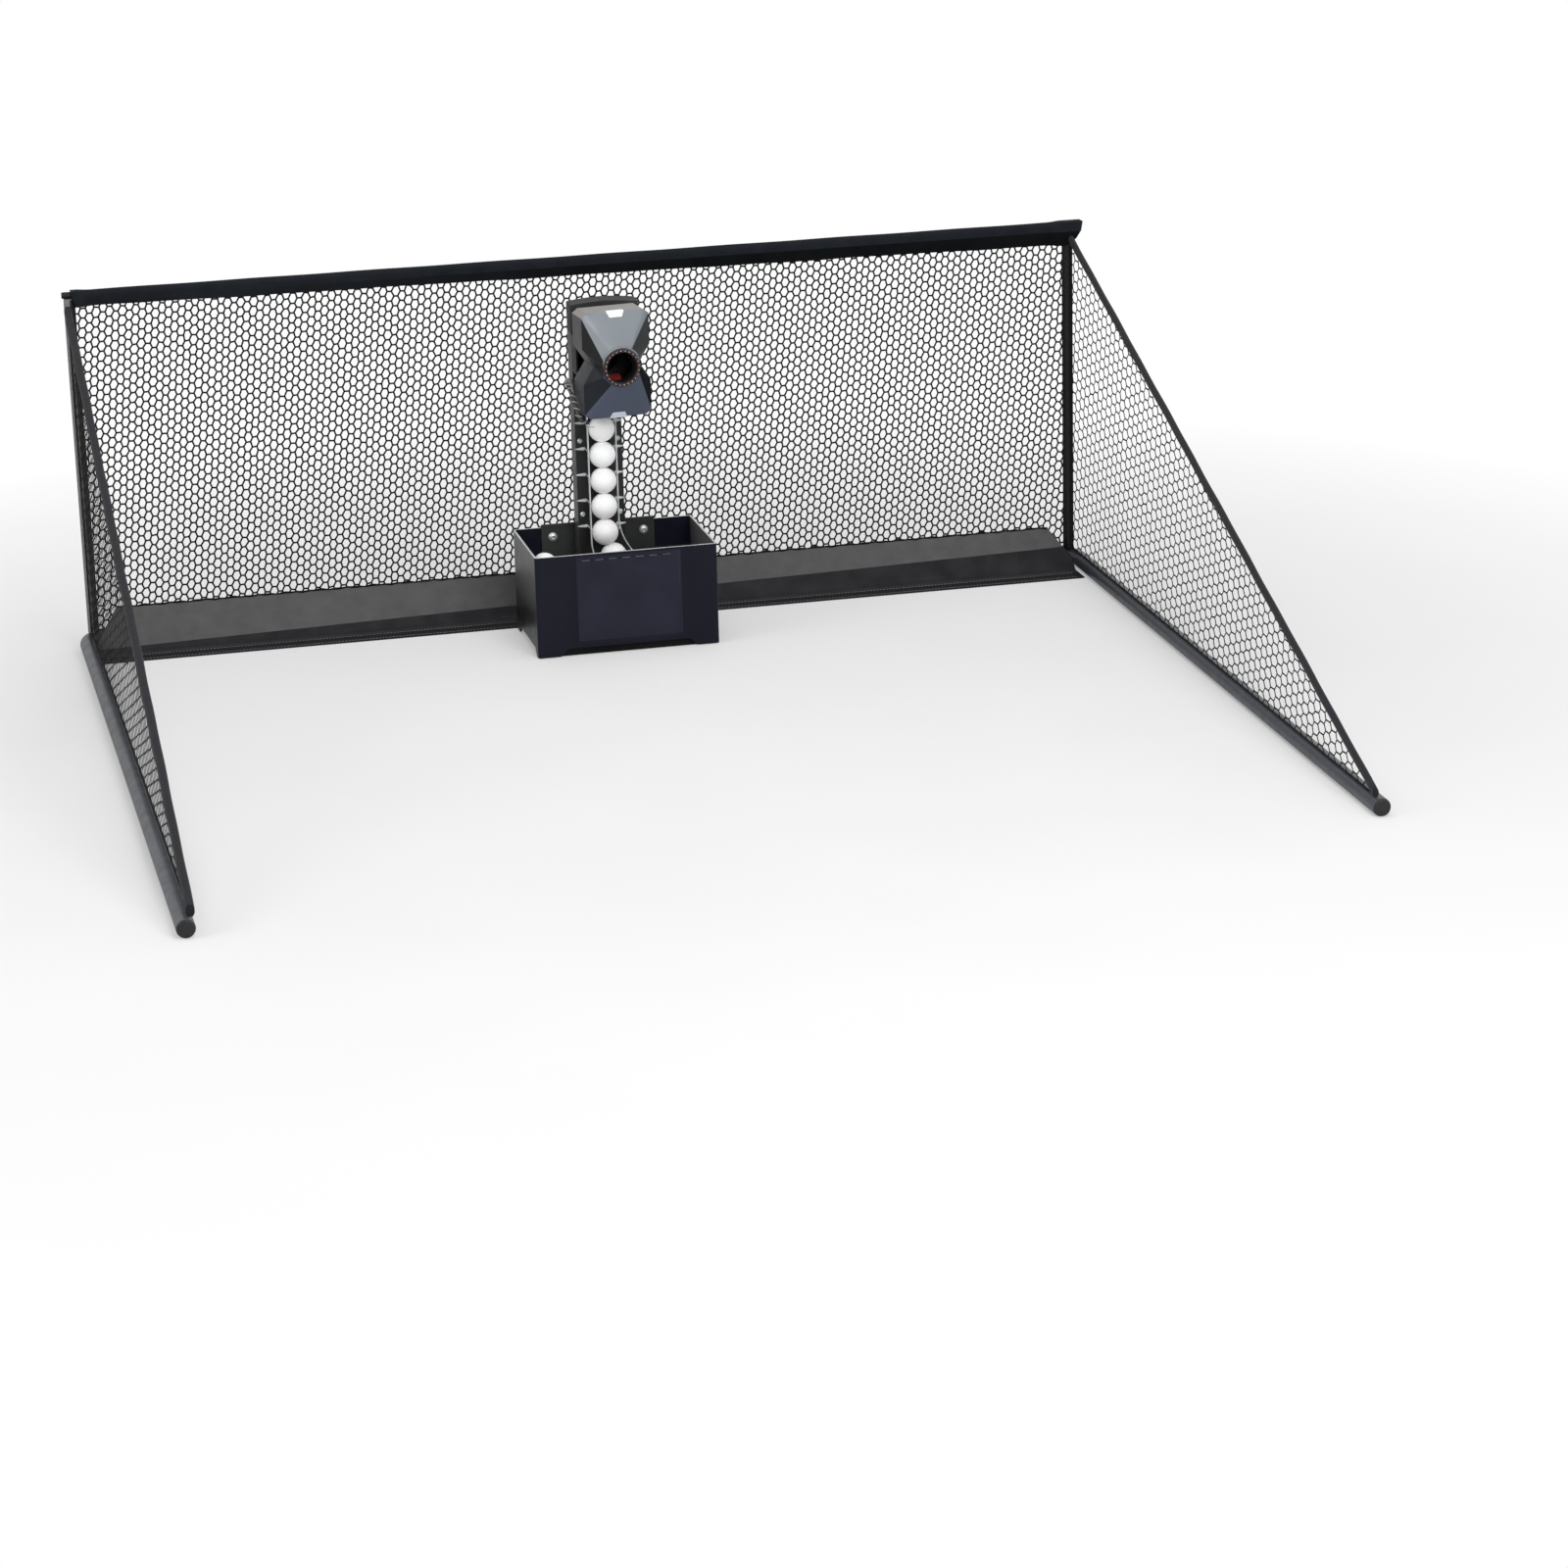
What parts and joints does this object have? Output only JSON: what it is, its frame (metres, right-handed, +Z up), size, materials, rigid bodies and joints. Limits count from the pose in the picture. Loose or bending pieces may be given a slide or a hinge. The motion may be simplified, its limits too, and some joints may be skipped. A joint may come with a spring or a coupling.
{
  "type": "table tennis robot with catch net",
  "caption": "Ball-throwing table tennis machine: hopper with feed wheel, tower with clear ball guide, swivelling two-wheel head, and a framed catch net with a ball tray.",
  "frame": {"origin": "middle of the footprint, on the surface that the feet, bars and tray stand on", "axes": "+X to the right seen from the front, along the top bar; +Y to the rear, from the open front of the net to its back; +Z up. The head throws towards -Y."},
  "size_m": [1.595, 1.3976, 0.5519],
  "materials": {
    "shell": "navy black, satin",
    "black_plastic": "black, fine grain",
    "rubber": "matte",
    "chrome": "polished dome",
    "tower_steel": "black, satin",
    "bright_steel": "brushed",
    "white_plastic": "off-white, moulded",
    "clear_plastic": "clear, bright edges",
    "ball": "white, matte",
    "board": "green board",
    "loom": "grey spiral wrap",
    "frame_paint": "grey-blue, satin",
    "net_fabric": "black knitted mesh and webbing",
    "tray_fabric": "dark grey coated cloth",
    "upper_cowl": "silver grey, satin",
    "lower_cowl": "slate blue, satin",
    "throat_ring": "dark red-brown",
    "tyre": "red foam rubber"
  },
  "bodies": {
    "machine": {"hopper_shell": "shell", "base_plate": "black_plastic", "rubber_foot_1": "rubber", "rubber_foot_2": "rubber", "rubber_foot_3": "rubber", "rubber_foot_4": "rubber", "hopper_funnel": "black_plastic", "bracket_bolt_left": "chrome", "bracket_bolt_right": "chrome", "rear_bracket": "tower_steel", "power_inlet": "black_plastic", "feed_housing": "black_plastic", "feed_gearmotor": "bright_steel", "ball_tube": "clear_plastic", "ball_1": "ball", "ball_2": "ball", "ball_3": "ball", "ball_4": "ball", "ball_5": "ball", "ball_6": "ball", "ball_7": "ball", "tower_column": "tower_steel", "tower_rear_cover": "tower_steel", "top_housing": "black_plastic", "control_board": "board", "yaw_servo": "black_plastic", "bearing_block": "black_plastic", "cable_loom": "loom", "side_bar_left": "frame_paint", "side_bar_right": "frame_paint", "post_left": "net_fabric", "post_right": "net_fabric", "rear_rail": "frame_paint", "top_bar": "frame_paint", "bar_sleeve": "net_fabric", "back_net": "net_fabric", "side_net_left": "net_fabric", "side_net_right": "net_fabric", "hem_left": "net_fabric", "hem_right": "net_fabric", "tray_lip": "tray_fabric", "tray": "tray_fabric"},
    "feeder": {"feed_wheel": "white_plastic", "feed_shaft": "bright_steel"},
    "rocker": {"power_switch": "black_plastic"},
    "yaw_drive": {"yaw_pinion": "white_plastic"},
    "swivel": {"elbow": "black_plastic", "yaw_gear": "white_plastic"},
    "head": {"head_chassis": "tower_steel", "upper_cowl": "upper_cowl", "lower_cowl": "lower_cowl", "throat_barrel": "black_plastic", "throat_ring": "throat_ring", "upper_motor": "bright_steel", "lower_motor": "bright_steel"},
    "upper_wheel": {"upper_hub": "white_plastic", "upper_tyre": "tyre"},
    "lower_wheel": {"lower_hub": "white_plastic", "lower_tyre": "tyre"}
  },
  "joints": [
    {"name": "feed_wheel_spin", "type": "hinge", "parent": "machine", "child": "feeder", "pos_m": [0.038, 0.50575, 0.07677], "axis": [0, 1, 0], "continuous": true},
    {"name": "switch_rock", "type": "hinge", "parent": "machine", "child": "rocker", "pos_m": [-0.12, 0.56775, 0.06], "axis": [1, 0, 0], "range_deg": [-8, 8]},
    {"name": "head_yaw", "type": "hinge", "parent": "machine", "child": "swivel", "pos_m": [-0.008, 0.50575, 0.434], "axis": [0, 0, 1], "range_deg": [-28, 16], "deforming": ["cable_loom"]},
    {"name": "pinion_spin", "type": "hinge", "parent": "machine", "child": "yaw_drive", "pos_m": [-0.008, 0.54435, 0.398], "axis": [0, 0, 1], "range_deg": [-49, 85]},
    {"name": "head_pitch", "type": "hinge", "parent": "swivel", "child": "head", "pos_m": [-0.00492, 0.47641, 0.434], "axis": [0.9945, 0.1045, 0], "range_deg": [-16, 10]},
    {"name": "upper_wheel_spin", "type": "hinge", "parent": "head", "child": "upper_wheel", "pos_m": [-0.00074, 0.43663, 0.4765], "axis": [0.9945, 0.1045, 0], "continuous": true},
    {"name": "lower_wheel_spin", "type": "hinge", "parent": "head", "child": "lower_wheel", "pos_m": [-0.00074, 0.43663, 0.3915], "axis": [0.9945, 0.1045, 0], "continuous": true}
  ],
  "couplings": [
    {"joint": "pinion_spin", "follows": "head_yaw", "ratio": -3}
  ]
}
